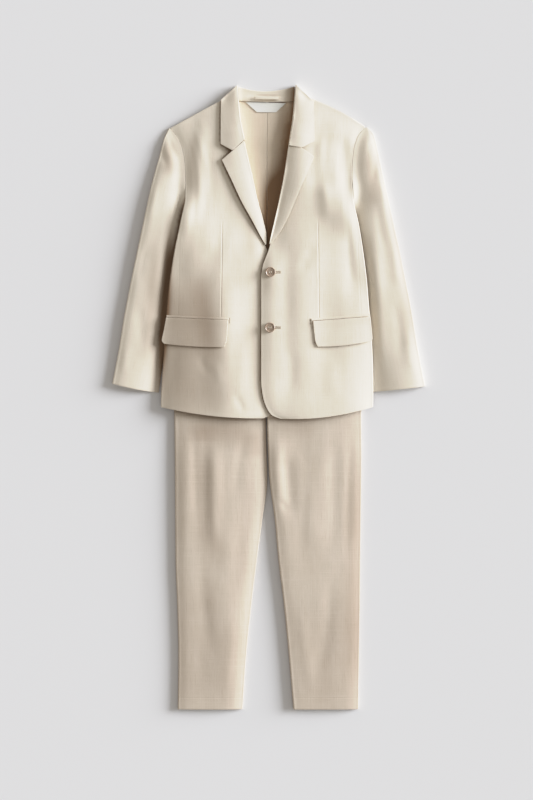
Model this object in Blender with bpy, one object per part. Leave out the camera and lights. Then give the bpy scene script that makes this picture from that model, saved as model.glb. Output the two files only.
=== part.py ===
# A child's linen suit laid flat: a two-button jacket over its trousers.
# Lengths are millimetres until a mesh is made: x to the viewer's right, y towards the collar, z up.
# The origin is on the table under the middle of the suit. The wearer's left is at +x.

from collections import namedtuple
from math import cos, exp, hypot, pi, sin

import bmesh
import bpy
from mathutils import Matrix, Vector
from mathutils.bvhtree import BVHTree

# Driving dimensions
metres_per_mm = 0.001
cloth_wall = 1.4
label_wall = 1.0
seam_gap = 0.3
drape_gap = 0.6
turn_gap = 0.4
roll_inset = 1.0

underarm_y = 380.0
centre_back_x = -3.3
welt_height = 4.0
waist_top_y = 272.0
waistband_height = 36.0
trouser_hem_y = -593.0

button_diameter = 19.4
button_height = 3.2
button_rim = 1.5
button_foot_radius = 7.0
button_flare_height = 1.4
button_edge_round = 0.3
button_dish = 0.8
button_hole = 2.0
button_hole_spread = 1.9
button_holes = 4

# How fine the panels and buttons are, and how the panels beneath are felt out and evened
row_step = 24.0
column_step = 17.0
edge_crowding = 0.07
round_steps = 32
hole_steps = 10
sharp_angle = pi / 5
probe_height = 500.0
probe_turns = 8
relax_share = 0.5

# A fold keeps its height over this share of its run at each side of its middle, then fades
fold_steady = 0.5
fold_fade = 0.35

# The two halves of the back meet at the centre-back seam
back_right_edge = centre_back_x - seam_gap
back_left_edge = centre_back_x + seam_gap

# A section crosses a panel from its left edge to its right edge.
# bow lifts the middle along y, and kink does so with a point in the middle.
# left_lift, crown and right_lift are heights over what the panel lies on.
Section = namedtuple(
    "Section",
    "left_x left_y right_x right_y bow left_lift crown right_lift kink",
    defaults=(0.0, 0.0, 0.0, 0.0, 0.0),
)

# A fold is a soft ridge, or a trough where its height is negative, along a straight line.
Fold = namedtuple("Fold", "start_x start_y end_x end_y width height")

# Colours of the real things, linear
Look = namedtuple("Look", "colour roughness")
looks = {
    "jacket_linen": Look((0.73, 0.68, 0.58), 0.9),
    "trouser_linen": Look((0.63, 0.55, 0.45), 0.9),
    "inner_linen": Look((0.58, 0.48, 0.37), 0.9),
    "label_satin": Look((0.86, 0.85, 0.83), 0.6),
    "horn_button": Look((0.30, 0.24, 0.19), 0.35),
}

carried = {}


def clear_scene():
    for old in list(bpy.data.objects):
        bpy.data.objects.remove(old)


def material(name):
    found = bpy.data.materials.get(name)
    if found:
        return found
    made = bpy.data.materials.new(name)
    made.use_nodes = True
    shader = made.node_tree.nodes["Principled BSDF"]
    shader.inputs["Base Color"].default_value = (*looks[name].colour, 1.0)
    shader.inputs["Roughness"].default_value = looks[name].roughness
    return made


def add_object(name, mesh, look):
    mesh.shade_smooth()
    mesh.set_sharp_from_angle(angle=sharp_angle)
    mesh.materials.append(material(look))
    made = bpy.data.objects.new(name, mesh)
    bpy.context.collection.objects.link(made)
    return made


# A monotone cubic through the keys, so that an outline never swings past its own sections.
def smooth_value(keys, values, at):
    last = len(keys) - 1
    span = 0
    while span < last - 1 and at > keys[span + 1]:
        span += 1
    slopes = [(values[i + 1] - values[i]) / (keys[i + 1] - keys[i]) for i in range(last)]

    def tangent(i):
        if i == 0:
            return slopes[0]
        if i == last:
            return slopes[last - 1]
        before = slopes[i - 1]
        after = slopes[i]
        if before * after <= 0:
            return 0.0
        return 2 * before * after / (before + after)

    width = keys[span + 1] - keys[span]
    t = (at - keys[span]) / width
    rise = (2 * t ** 3 - 3 * t ** 2 + 1) * values[span]
    rise += (t ** 3 - 2 * t ** 2 + t) * width * tangent(span)
    rise += (3 * t ** 2 - 2 * t ** 3) * values[span + 1]
    rise += (t ** 3 - t ** 2) * width * tangent(span + 1)
    return rise


# Keys along the panel, and the rows between them at about the row step
def section_rows(sections, step):
    keys = [0.0]
    rows = [0.0]
    for upper, lower in zip(sections, sections[1:]):
        left_run = hypot(lower.left_x - upper.left_x, lower.left_y - upper.left_y)
        right_run = hypot(lower.right_x - upper.right_x, lower.right_y - upper.right_y)
        run = max(left_run, right_run)
        count = max(1, round(run / step))
        rows += [keys[-1] + run * (i + 1) / count for i in range(count)]
        keys.append(keys[-1] + run)
    return keys, rows


def section_at(sections, keys, at):
    return Section(*(smooth_value(keys, column, at) for column in zip(*sections)))


# Share of the crown at u from 0 to 1 across the panel; flat is the share that lies flat at one side
def crown_share(u, power, flat):
    if flat > 0:
        u = u / (1 - flat)
    if flat < 0:
        u = 1 - (1 - u) / (1 + flat)
    if u <= 0 or u >= 1:
        return 0.0
    return 1 - abs(2 * u - 1) ** power


def fold_height(folds, x, y):
    total = 0.0
    for fold in folds:
        run = Vector((fold.end_x - fold.start_x, fold.end_y - fold.start_y))
        offset = Vector((x - fold.start_x, y - fold.start_y))
        along = offset.dot(run) / run.length_squared
        aside = (offset - run * along).length
        past = max(0.0, abs(2 * along - 1) - fold_steady)
        total += fold.height * exp(-((aside / fold.width) ** 2)) * exp(-((past / fold_fade) ** 2))
    return total


# Height of the highest of the named panels within reach of a point, or None over the bare table
def height_under(names, x, y, reach):
    highest = None
    turn = 2 * pi / probe_turns
    turns = [(r * cos(k * turn), r * sin(k * turn))
             for r in (reach / 2, reach) for k in range(probe_turns)]
    turns.append((0.0, 0.0))
    for name in names:
        for dx, dy in turns:
            hit = carried[name].ray_cast(Vector((x + dx, y + dy, probe_height)), Vector((0, 0, -1)))[0]
            if hit and (highest is None or hit.z > highest):
                highest = hit.z
    return highest


def relax(heights, floors, rounds):
    rows = len(heights)
    columns = len(heights[0])
    for _ in range(rounds):
        before = [row[:] for row in heights]
        for i in range(rows):
            for j in range(columns):
                around = [before[k][j] for k in (i - 1, i + 1) if 0 <= k < rows]
                around += [before[i][k] for k in (j - 1, j + 1) if 0 <= k < columns]
                mean = sum(around) / len(around)
                kept = (1 - relax_share) * before[i][j]
                heights[i][j] = max(floors[i][j], kept + relax_share * mean)


# One cut piece of cloth: a grid through its sections, laid on the named panels, with a closed wall.
# Tucked panels reach under this one below the underarm only.
def cloth_panel(name, look, sections, on=(), tucked=(), folds=(), power=3.0, flat=0.0, rounds=2,
                gap=seam_gap, wall=cloth_wall, columns=None, step=row_step, reach=8.0):
    keys, row_keys = section_rows(sections, step)
    widest = max(abs(s.right_x - s.left_x) for s in sections)
    column_count = columns or max(4, round(widest / column_step) + 1)
    shares = [j / (column_count - 1) for j in range(column_count)]
    shares = [t - edge_crowding * sin(2 * pi * t) for t in shares]

    plan = []
    heights = []
    floors = []
    for at in row_keys:
        section = section_at(sections, keys, at)
        plan_row = []
        height_row = []
        floor_row = []
        for u in shares:
            x = section.left_x + (section.right_x - section.left_x) * u
            y = section.left_y + (section.right_y - section.left_y) * u
            y += section.bow * 4 * u * (1 - u) + section.kink * (1 - abs(2 * u - 1))
            under = [*on, *tucked] if y < underarm_y else on
            below = height_under(under, x, y, reach)
            floor = 0.0 if below is None else below + gap
            lift = section.left_lift * (1 - u) + section.right_lift * u
            lift += section.crown * crown_share(u, power, flat)
            plan_row.append((x, y))
            floor_row.append(floor)
            height_row.append(max(floor, floor + lift + fold_height(folds, x, y)))
        plan.append(plan_row)
        heights.append(height_row)
        floors.append(floor_row)
    relax(heights, floors, rounds)

    last_row = len(plan) - 1
    last_column = column_count - 1
    panel = bmesh.new()
    bmesh.ops.create_grid(panel, x_segments=last_column, y_segments=last_row, size=0.5)
    for vert in panel.verts:
        i = round((0.5 - vert.co.y) * last_row)
        j = round((vert.co.x + 0.5) * last_column)
        vert.co = (*plan[i][j], heights[i][j])
    outer = bmesh.ops.extrude_face_region(panel, geom=panel.faces[:])
    outer_verts = [part for part in outer["geom"] if isinstance(part, bmesh.types.BMVert)]
    bmesh.ops.translate(panel, verts=outer_verts, vec=(0, 0, wall))
    bmesh.ops.recalc_face_normals(panel, faces=panel.faces[:])
    carried[name] = BVHTree.FromBMesh(panel)
    return finish_mesh(name, panel, look)


def finish_mesh(name, shape, look):
    bmesh.ops.scale(shape, vec=(metres_per_mm,) * 3, verts=shape.verts[:])
    bmesh.ops.triangulate(shape, faces=shape.faces[:])
    mesh = bpy.data.meshes.new(name)
    shape.to_mesh(mesh)
    shape.free()
    return add_object(name, mesh, look)


# Draws one edge of each section inwards, for cloth that ends just short of the edge that it lies on
def trimmed(sections, left=0.0, right=0.0):
    return [s._replace(left_x=s.left_x + left, right_x=s.right_x - right) for s in sections]


def without_lift(sections):
    return [s._replace(left_lift=0.0, crown=0.0, right_lift=0.0) for s in sections]


# Trouser legs: the wearer's right leg is at -x
leg_right_sections = [
    Section(-162, 235, -3.2, 235, 0, 0, 2.5, 2.5),
    Section(-174, 160, -3.2, 160, 0, 0, 3, 2.5),
    Section(-181, 40, -3.4, 40, 0, 0, 3.5, 2),
    Section(-180, -28, -5.2, -40, 0, 0, 6.5, 0),
    Section(-179, -110, -3.8, -110, 0, 0, 10, 0),
    Section(-178.6, -160, -2.8, -159, 0, 0, 11, 0),
    Section(-178, -230, -11.8, -230, 0, 0, 11, 0),
    Section(-177.4, -313, -22.7, -313, 0, 0, 10, 0),
    Section(-174, -402, -33.3, -402, 0, 0, 9, 0),
    Section(-172, -495, -42.7, -495, 0, 0, 8, 0),
    Section(-173.4, trouser_hem_y, -49.3, trouser_hem_y, 0, 0, 7, 0),
]
leg_left_sections = [
    Section(-2.6, 235, 158, 235, 0, 2.5, 2.5, 0),
    Section(-2.6, 160, 170, 160, 0, 2.5, 3, 0),
    Section(-2.6, 40, 178, 40, 0, 2, 3.5, 0),
    Section(-3.6, -40, 176.6, -27, 0, 0, 6.5, 0),
    Section(-1.2, -110, 177.2, -111, 0, 0, 10, 0),
    Section(1.2, -155, 176.5, -157, 0, 0, 11, 0),
    Section(11.6, -235, 175.3, -235, 0, 0, 11, 0),
    Section(18.1, -309, 174.3, -309, 0, 0, 10, 0),
    Section(28, -389, 173.6, -389, 0, 0, 9, 0),
    Section(36, -469, 172.4, -469, 0, 0, 8, 0),
    Section(46.6, trouser_hem_y, 170.5, trouser_hem_y, 0, 0, 7, 0),
]
leg_right_folds = [
    Fold(-106, -60, -112, -330, 13, -6),
    Fold(-66, -60, -78, -330, 20, 3),
    Fold(-150, -60, -148, -300, 12, 2),
    Fold(-36, -180, -62, -330, 10, -2.5),
    Fold(-130, -330, -120, -560, 16, -2),
]
leg_left_folds = [
    Fold(62, -70, 66, -300, 13, -5),
    Fold(28, -90, 38, -250, 14, 3),
    Fold(122, -60, 120, -320, 18, 3),
    Fold(150, -100, 146, -280, 10, -2.5),
    Fold(110, -360, 96, -560, 16, -2),
]
waistband_sections = [
    Section(-159, waist_top_y, 155, waist_top_y, 0, 0, 3, 0),
    Section(-161.5, waist_top_y - waistband_height, 157.5, waist_top_y - waistband_height, 0, 0, 3, 0),
]


def build_trousers():
    cloth_panel("trousers_back_right", "trouser_linen", without_lift(leg_right_sections),
                columns=6, step=60)
    cloth_panel("trousers_back_left", "trouser_linen", without_lift(leg_left_sections),
                columns=6, step=60)
    cloth_panel("waistband_back", "trouser_linen", without_lift(waistband_sections), columns=6)
    cloth_panel("trousers_front_right", "trouser_linen", leg_right_sections,
                on=["trousers_back_right"], folds=leg_right_folds, power=4, step=28, rounds=1)
    cloth_panel("trousers_front_left", "trouser_linen", leg_left_sections,
                on=["trousers_back_left"], folds=leg_left_folds, power=4, step=28, rounds=1)
    cloth_panel("waistband_front", "trouser_linen", waistband_sections,
                on=["waistband_back"], columns=8)


# Sleeves: the armhole seam first, then the inner edge tucked under the jacket's side
sleeve_right_sections = [
    Section(-190.5, 511, -185.5, 508, 0, 1.5, 0.5, 1.5),
    Section(-199.2, 492.6, -172, 487, 0, 0.5, 3, 4),
    Section(-209.9, 452.7, -161.4, 452.7, 0, 0, 7, 6),
    Section(-218, 424, -158.9, 424, 0, 0, 9, 5),
    Section(-227, 388, -159.4, 382, 0, 0, 12, 1),
    Section(-240.5, 325, -154, 328, 0, 0, 14, 0),
    Section(-254.3, 260, -170, 262, 0, 0, 14, 0),
    Section(-266, 203, -179, 200, 0, 0, 13, 0),
    Section(-275.6, 152.5, -188, 145, 0, 0, 12, 0),
    Section(-285.3, 92, -199, 80, 0, 0, 11, 0),
    Section(-298, 25.6, -209.5, 9, -2, 0, 10, 0),
]
sleeve_left_sections = [
    Section(184.5, 510, 187.5, 513, 0, 1.5, 0.5, 1.5),
    Section(167.7, 491.8, 200, 498, 0, 4, 3, 0.5),
    Section(160.8, 462, 208.3, 464.1, 0, 6, 7, 0),
    Section(158.2, 424, 217, 424, 0, 5, 9, 0),
    Section(161, 379, 227.7, 376, 0, 1, 12, 0),
    Section(154, 328, 238.5, 326, 0, 0, 14, 0),
    Section(164, 279, 248.8, 279.8, 0, 0, 14, 0),
    Section(174, 226, 259.5, 226, 0, 0, 13, 0),
    Section(182, 175, 270, 175, 0, 0, 12, 0),
    Section(191, 100, 282.2, 101.2, 0, 0, 11, 0),
    Section(197.5, 10.5, 297.8, 21, -1, 0, 10, 0),
]
sleeve_right_folds = [
    Fold(-190, 494, -171, 446, 6, -1.5),
    Fold(-205, 470, -192, 436, 6, -1.5),
    Fold(-236, 370, -262, 210, 12, 1.5),
    Fold(-216, 240, -214, 130, 12, -2.5),
    Fold(-262, 190, -272, 60, 12, 1.5),
]
sleeve_left_folds = [
    Fold(204, 455, 190, 262, 12, -4.5),
    Fold(222, 400, 236, 250, 14, 2),
    Fold(246, 190, 244, 15, 11, -2.5),
    Fold(270, 170, 280, 30, 14, 1.5),
]


def build_sleeves():
    lower_right = without_lift(sleeve_right_sections)
    lower_left = without_lift(sleeve_left_sections)
    cloth_panel("sleeve_right_under", "jacket_linen", lower_right, columns=5, step=60)
    cloth_panel("sleeve_left_under", "jacket_linen", lower_left, columns=5, step=60)
    cloth_panel("sleeve_right_top", "jacket_linen", sleeve_right_sections,
                on=["sleeve_right_under"], folds=sleeve_right_folds, power=2.6, flat=0.2, columns=9)
    cloth_panel("sleeve_left_top", "jacket_linen", sleeve_left_sections,
                on=["sleeve_left_under"], folds=sleeve_left_folds, power=2.6, flat=-0.2, columns=9)


# Jacket body: side edges from the shoulder point, by the armhole and underarm, to the hem
front_right_sections = [
    Section(-187, 512, -62, 577, 0, 1.5, 2, 3),
    Section(-169, 485, -54, 531, 0, 4, 5, 3),
    Section(-160.6, 453, -45, 485, 0, 6, 5, 2),
    Section(-158.1, 424, -34, 436, 0, 5, 6, 2),
    Section(-158.6, 382, -22, 384, 0, 1, 8, 1.5),
    Section(-168, 330, -9, 333, 0, 3, 8, 1),
    Section(-177, 287, -3.5, 286, 0, 4, 8, 0.5),
    Section(-183.6, 250, 15, 250, 0, 4, 7, 0),
    Section(-191.4, 192, 16, 192, 0, 3, 6, 0),
    Section(-196.5, 125, 16, 125, 0, 2, 6, 0),
    Section(-201, 60, 16, 50, 0, 1, 6, 0),
    Section(-204, 14, 15.5, 0, -1, 0.5, 6.5, 0),
    Section(-204.6, 2, 12, -20, -3, 0, 6.5, 0),
    Section(-204.8, -9, 4, -33, -5, 0, 6.5, 0),
    Section(-204.8, -19, -10, -40, -6, 0, 6.5, 0),
]
front_left_sections = [
    Section(54, 575, 183.8, 514.5, 6, 3, 2, 1.5),
    Section(47, 531, 166.9, 492, 2, 3, 5, 4),
    Section(36.2, 481, 160, 462, 0, 2, 5, 6),
    Section(32, 446, 157.4, 424, 0, 2, 6, 5),
    Section(22, 384, 160.2, 379, 0, 1.5, 8, 1),
    Section(9, 327, 170.6, 328, 0, 1, 8, 3),
    Section(-0.7, 282, 178.5, 280, 0, 0.5, 8, 4),
    Section(-12, 246, 183.5, 243, 0, 0.5, 7, 4),
    Section(-14.7, 225, 186, 222, 0, 0.5, 7, 4),
    Section(-14.7, 179, 189.5, 179, 0, 0.5, 6, 3),
    Section(-14.7, 110, 195.5, 110, 0, 0.5, 6, 2),
    Section(-14.7, 33, 198, 40, 0, 0.5, 6, 1),
    Section(-11.3, 2, 198.4, 8, -2, 0.5, 6.5, 0.5),
    Section(-5, -18, 198.3, -2, -4, 0.5, 6.5, 0),
    Section(6, -34, 198.1, -11, -6, 0, 6.5, 0),
    Section(22, -40.5, 197.9, -18.5, -8, 0, 6.5, 0),
]
back_right_sections = [
    Section(-186, 510, back_right_edge, 561, 20, 0, 0, 0),
    Section(-170.5, 487, back_right_edge, 505, 8, 0, 0, 0),
    Section(-160.4, 453, back_right_edge, 470, 0, 0, 0, 0),
    Section(-157.9, 424, back_right_edge, 430, 0, 0, 0, 0),
    Section(-158.4, 382, back_right_edge, 384, 0, 0, 0, 0),
    Section(-168, 330, back_right_edge, 333, 0, 0, 0, 0),
    Section(-177, 287, back_right_edge, 286, 0, 0, 0, 0),
    Section(-191.4, 192, back_right_edge, 192, 0, 0, 0, 0),
    Section(-196.5, 125, back_right_edge, 125, 0, 0, 0, 0),
    Section(-204, 14, back_right_edge, 0, -1, 0, 0, 0),
    Section(-204.8, -19, back_right_edge, -38, -4, 0, 0, 0),
]
back_left_sections = [
    Section(back_left_edge, 561, 182.8, 511.5, 20, 0, 0, 0),
    Section(back_left_edge, 505, 166.5, 492, 8, 0, 0, 0),
    Section(back_left_edge, 470, 159.8, 462, 0, 0, 0, 0),
    Section(back_left_edge, 430, 157.2, 424, 0, 0, 0, 0),
    Section(back_left_edge, 384, 160, 379, 0, 0, 0, 0),
    Section(back_left_edge, 333, 170.6, 328, 0, 0, 0, 0),
    Section(back_left_edge, 286, 178.5, 280, 0, 0, 0, 0),
    Section(back_left_edge, 179, 189.5, 179, 0, 0, 0, 0),
    Section(back_left_edge, 110, 195.5, 110, 0, 0, 0, 0),
    Section(back_left_edge, 0, 198.4, 8, -2, 0, 0, 0),
    Section(back_left_edge, -38, 197.9, -18.5, -4, 0, 0, 0),
]
front_right_folds = [
    Fold(-132, 540, -134, 300, 9, -4),
    Fold(-110, 540, -112, 330, 12, 2.5),
    Fold(-150, 210, -158, 20, 16, 2),
    Fold(-60, 260, -96, 20, 16, 2),
    Fold(-46, 20, -66, -30, 8, -2),
    Fold(-172, 300, -184, 190, 9, -2),
]
front_left_folds = [
    Fold(98, 520, 102, 340, 8, -3),
    Fold(128, 530, 126, 330, 14, 3),
    Fold(150, 450, 148, 330, 8, -2),
    Fold(140, 230, 150, 20, 18, 2),
    Fold(52, 250, 78, 10, 16, 2),
]


def build_body():
    under_back = ["trousers_front_right", "trousers_front_left", "waistband_front",
                  "collar_fall_back"]
    sleeve_tops = ["sleeve_right_top", "sleeve_left_top"]
    cloth_panel("jacket_back_right", "inner_linen", back_right_sections, on=under_back,
                tucked=sleeve_tops, rounds=10, gap=drape_gap, columns=11, step=26, reach=26)
    cloth_panel("jacket_back_left", "inner_linen", back_left_sections, on=under_back,
                tucked=sleeve_tops, rounds=10, gap=drape_gap, columns=11, step=26, reach=26)
    backs = ["jacket_back_right", "jacket_back_left"]
    cloth_panel("jacket_front_right", "jacket_linen", front_right_sections, on=backs,
                folds=front_right_folds, power=5, rounds=1)
    cloth_panel("jacket_front_left", "jacket_linen", front_left_sections,
                on=backs + ["jacket_front_right"], folds=front_left_folds, power=5, rounds=1,
                reach=15)


# Collar and lapels: the fold line is at the opening, and the outer edge stands a little off the chest
collar_back_sections = [
    Section(-57, 588, 49, 588, -8),
    Section(-86, 562, 81, 560, 0),
    Section(-84, 540, 79, 540, 0),
]
collar_stand_sections = [
    Section(-58.2, 590.5, 49.2, 590.5, -9, 1, 0, 1),
    Section(-57.2, 577, 48.6, 577, -5, 0.5, 0, 0.5),
    Section(-56.2, 564, 48, 563, -2, 0, 0, 0),
]
collar_fall_right_sections = [
    Section(-91, 564, -59, 592.6, 0, 2, 1, 3),
    Section(-91.2, 530, -54, 531, 0, 2, 1, 0),
    Section(-91.3, 500, -48, 500, 0, 2.5, 1, 0),
    Section(-91.3, 480.2, -45.8, 488, 0, 2.5, 1, 0, -16.5),
]
collar_fall_left_sections = [
    Section(50, 592.6, 85.4, 561, 0, 3, 1, 2),
    Section(47, 531, 86, 530, 0, 0, 1, 2),
    Section(39.5, 500, 86.5, 500, 0, 0, 1, 2.5),
    Section(36.6, 482.5, 86.7, 486, 0, 0, 1, 2.5, -9.5),
]
lapel_right_sections = [
    Section(-89, 449.8, -45.5, 485.8, 0, 3, 1, 0),
    Section(-71.2, 413, -31, 424, 0, 3.5, 1, 0),
    Section(-53.7, 375, -20.5, 377, 0, 3.5, 1, 0),
    Section(-32.8, 337, -9.5, 337, 0, 3, 1, 0),
    Section(-12, 299, -3, 303, 0, 1.5, 0.5, 0),
    Section(-6, 289, -3.2, 290, 0, 0, 0, 0),
]
lapel_left_sections = [
    Section(36, 476.8, 85.4, 456.5, 0, 0, 1, 3),
    Section(28.5, 418, 67.5, 413, 0, 0, 1, 3.5),
    Section(20.3, 377, 51, 375, 0, 0, 1, 3.5),
    Section(13, 344, 38, 344, 0, 0, 1, 3),
    Section(5.5, 311, 20, 311, 0, 0, 0.5, 1.5),
    Section(0.4, 291, 4, 292, 0, 0, 0, 0),
]
hanger_loop_sections = [
    Section(-27, 572, 21.4, 571, 0, 0.2, 1.2, 0.2),
    Section(-27, 566, 21.4, 565.5, 0, 0.2, 1.2, 0.2),
]
neck_label_sections = [
    Section(-44.2, 561.5, 32.8, 559.6, 0),
    Section(-22.3, 542, 13.8, 542, 0),
]


def build_collar_back():
    cloth_panel("collar_fall_back", "jacket_linen", collar_back_sections, columns=8)


def build_collar():
    fronts = ["jacket_front_right", "jacket_front_left"]
    backs = ["jacket_back_right", "jacket_back_left"]
    cloth_panel("neck_label", "label_satin", neck_label_sections, on=backs, wall=label_wall,
                columns=6, step=10)
    cloth_panel("collar_stand", "jacket_linen", collar_stand_sections,
                on=backs + ["collar_fall_back", "neck_label"], columns=10, step=9, rounds=1)
    cloth_panel("hanger_loop", "jacket_linen", hanger_loop_sections,
                on=["collar_stand"], wall=label_wall, columns=7, step=4, rounds=0, reach=2)
    turned = dict(columns=7, step=15, rounds=1, gap=turn_gap)
    cloth_panel("collar_fall_right", "jacket_linen", collar_fall_right_sections,
                on=fronts + backs + ["collar_fall_back"], reach=4.0, **turned)
    cloth_panel("collar_fall_left", "jacket_linen", collar_fall_left_sections,
                on=fronts + backs + ["collar_fall_back"], reach=4.0, **turned)
    cloth_panel("lapel_right", "jacket_linen", trimmed(lapel_right_sections, right=roll_inset),
                on=fronts + backs, reach=2.5, **turned)
    cloth_panel("lapel_left", "jacket_linen", trimmed(lapel_left_sections, left=roll_inset),
                on=fronts + backs, reach=2.5, **turned)


# Pocket flaps, each with its narrow welt above it
flap_right_sections = [
    Section(-194.5, 151, -77.5, 145.5, 0, 0.3, 0, 0.3),
    Section(-199.5, 125, -78.5, 121, 0, 0.8, 0.6, 0.8),
    Section(-203, 108, -80, 107, 0, 1.2, 0.8, 1.2),
    Section(-198, 101.2, -84, 94.5, -2, 1.2, 0.8, 1.2),
]
flap_left_sections = [
    Section(83.5, 144, 192.5, 152.5, 0, 0.3, 0, 0.3),
    Section(86, 120, 195, 128, 0, 0.8, 0.6, 0.8),
    Section(87.5, 107, 196.5, 111, 0, 1.2, 0.8, 1.2),
    Section(92.5, 95.5, 194.5, 106.5, -3, 1.2, 0.8, 1.2),
]
welt_right_sections = [
    Section(-194, 155.6, -75.8, 149.9),
    Section(-194, 155.6 - welt_height, -75.8, 149.9 - welt_height),
]
welt_left_sections = [
    Section(80.6, 148.6, 192, 157.2),
    Section(80.6, 148.6 - welt_height, 192, 157.2 - welt_height),
]


def build_pockets():
    fronts = ["jacket_front_right", "jacket_front_left"]
    cloth_panel("pocket_welt_right", "jacket_linen", welt_right_sections, on=fronts,
                columns=8, step=4, rounds=0)
    cloth_panel("pocket_welt_left", "jacket_linen", welt_left_sections, on=fronts,
                columns=8, step=4, rounds=0)
    cloth_panel("pocket_flap_right", "jacket_linen", flap_right_sections,
                on=fronts + ["pocket_welt_right"], columns=9, step=14, rounds=1)
    cloth_panel("pocket_flap_left", "jacket_linen", flap_left_sections,
                on=fronts + ["pocket_welt_left"], columns=9, step=14, rounds=1)


Button = namedtuple("Button", "name x y")
buttons = [
    Button("button_upper", 3.1, 236.8),
    Button("button_lower", 2.0, 131.8),
]


# A dished four-hole button, turned from its half section
def build_button(button):
    radius = button_diameter / 2
    seat = height_under(["jacket_front_left"], button.x, button.y, button_foot_radius) + seam_gap
    half_section = [
        (0.0, 0.0),
        (button_foot_radius, 0.0),
        (radius, button_flare_height),
        (radius - button_edge_round, button_height - button_edge_round),
        (radius - button_rim / 2, button_height),
        (radius - button_rim, button_height - button_edge_round),
        (radius - button_rim * 1.5, button_height - button_dish),
        (0.0, button_height - button_dish),
    ]
    turned = bmesh.new()
    points = [turned.verts.new((r, 0.0, z)) for r, z in half_section]
    edges = [turned.edges.new(pair) for pair in zip(points, points[1:])]
    bmesh.ops.spin(turned, geom=points + edges, axis=(0, 0, 1), cent=(0, 0, 0), steps=round_steps,
                   angle=2 * pi, use_merge=True)
    bmesh.ops.remove_doubles(turned, verts=turned.verts[:], dist=0.001)
    bmesh.ops.recalc_face_normals(turned, faces=turned.faces[:])
    place = Matrix.Translation((button.x, button.y, seat))
    bmesh.ops.transform(turned, matrix=place, verts=turned.verts[:])
    body = finish_mesh(button.name, turned, "horn_button")
    for k in range(button_holes):
        turn = pi / 4 + k * 2 * pi / button_holes
        x = button.x + button_hole_spread * 2 ** 0.5 * cos(turn)
        y = button.y + button_hole_spread * 2 ** 0.5 * sin(turn)
        cut_hole(body, x, y, seat, k)


def cut_hole(body, x, y, seat, k):
    drill = bmesh.new()
    place = Matrix.Translation((x, y, seat + button_height / 2))
    bmesh.ops.create_cone(drill, cap_ends=True, segments=hole_steps, radius1=button_hole / 2,
                          radius2=button_hole / 2, depth=button_height * 2, matrix=place)
    cutter = finish_mesh(body.name + "_drill_" + str(k + 1), drill, "horn_button")
    cutter.hide_render = True
    cutter.display_type = "WIRE"
    cut = body.modifiers.new("hole_" + str(k + 1), "BOOLEAN")
    cut.operation = "DIFFERENCE"
    cut.object = cutter


def build_suit():
    clear_scene()
    build_trousers()
    build_sleeves()
    build_collar_back()
    build_body()
    build_collar()
    build_pockets()
    for button in buttons:
        build_button(button)


build_suit()
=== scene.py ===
# A child's linen suit laid flat, dressed over its solids: cloth shells, seams, stitches and finishes.
# Tables are in millimetres on the table's plane, x to the viewer's right and y towards the collar.

import math

import bmesh
import bpy
import numpy as np
from mathutils import Matrix, Vector
from mathutils.bvhtree import BVHTree


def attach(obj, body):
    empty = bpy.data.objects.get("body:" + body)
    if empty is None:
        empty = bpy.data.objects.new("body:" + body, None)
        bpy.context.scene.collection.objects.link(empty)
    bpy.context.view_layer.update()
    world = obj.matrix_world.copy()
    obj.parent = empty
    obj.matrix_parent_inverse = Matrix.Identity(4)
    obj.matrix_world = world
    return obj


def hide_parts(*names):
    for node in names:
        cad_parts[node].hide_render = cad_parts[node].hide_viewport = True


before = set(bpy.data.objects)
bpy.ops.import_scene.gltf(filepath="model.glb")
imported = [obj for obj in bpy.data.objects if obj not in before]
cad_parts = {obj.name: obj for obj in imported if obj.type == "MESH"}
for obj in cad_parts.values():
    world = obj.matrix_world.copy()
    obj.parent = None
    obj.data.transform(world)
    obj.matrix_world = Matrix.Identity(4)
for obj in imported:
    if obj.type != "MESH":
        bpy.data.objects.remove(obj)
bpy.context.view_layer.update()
print("solids loaded:", len(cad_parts))

mm = 0.001
skyHeight = 0.5          # metres, where rays that look for a surface start
down = Vector((0, 0, -1))

shellTrees = {}          # the dressed shells, for what lies on them
allPoints = []           # all of them together, to find where light hardly gets in and shade is painted
allFaces = []
solidTrees = {}


def linked(name, data):
    made = bpy.data.objects.new(name, data)
    bpy.context.scene.collection.objects.link(made)
    return made


def meshOf(name, shape):
    mesh = bpy.data.meshes.new(name)
    shape.to_mesh(mesh)
    shape.free()
    return mesh


# Finishes

def hexToLinear(text):
    parts = [int(text[k:k + 2], 16) / 255 for k in (1, 3, 5)]
    linear = [c / 12.92 if c <= 0.04045 else ((c + 0.055) / 1.055) ** 2.4 for c in parts]
    return (*linear, 1.0)


# Adds one node: plain settings, socket values and the links into its sockets
def addNode(material, kind, settings=None, values=None, links=None):
    node = material.node_tree.nodes.new("ShaderNode" + kind)
    for key, value in (settings or {}).items():
        setattr(node, key, value)
    for socket, value in (values or {}).items():
        node.inputs[socket].default_value = value
    for socket, source in (links or {}).items():
        material.node_tree.links.new(source, node.inputs[socket])
    return node


def newMaterial(name):
    material = bpy.data.materials.new(name)
    material.use_nodes = True
    material.node_tree.nodes.clear()
    return material


def closeMaterial(material, values, links):
    shader = addNode(material, "BsdfPrincipled", values=values, links=links)
    addNode(material, "OutputMaterial", links={"Surface": shader.outputs["BSDF"]})
    return material


# Noise at a place, which may be stretched, shifted and turned first
def noise(material, place, scale, detail, stretch=None, shift=0.0, turn=0.0, warp=0.0):
    if stretch:
        placing = {"Scale": stretch, "Location": (shift, shift, 0), "Rotation": (0, 0, turn)}
        place = addNode(material, "Mapping", values=placing, links={"Vector": place}).outputs["Vector"]
    return addNode(material, "TexNoise", values={"Scale": scale, "Detail": detail, "Distortion": warp},
                   links={"Vector": place}).outputs["Fac"]


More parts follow.
